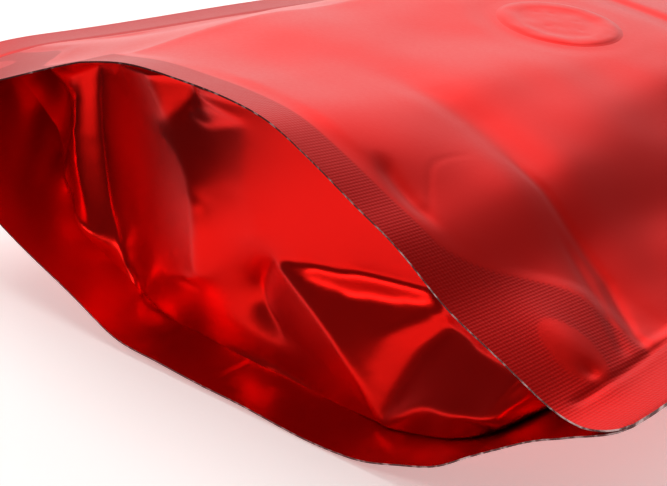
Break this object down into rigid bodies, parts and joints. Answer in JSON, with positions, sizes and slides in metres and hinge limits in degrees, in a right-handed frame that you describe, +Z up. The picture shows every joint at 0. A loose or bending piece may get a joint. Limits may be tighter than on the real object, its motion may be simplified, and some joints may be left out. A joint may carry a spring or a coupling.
{
  "type": "coffee bag",
  "caption": "Empty foil stand-up coffee bag lying on its back, bottom gusset pushed in between two spread sealed flaps, with a one-way valve under the front panel.",
  "frame": {"origin": "on the surface the bag lies on, under the middle of its box", "axes": "+Y from the open gusset end to the flat top seal, +X across the width, +Z up through the front panel"},
  "size_m": [0.16, 0.235, 0.0492],
  "materials": {
    "foil": "matt metallic red laminate",
    "valve_cover": "matt metallic red laminate drawn over the valve"
  },
  "bodies": {
    "root": {"bag": "foil", "valve": "valve_cover"}
  },
  "joints": []
}
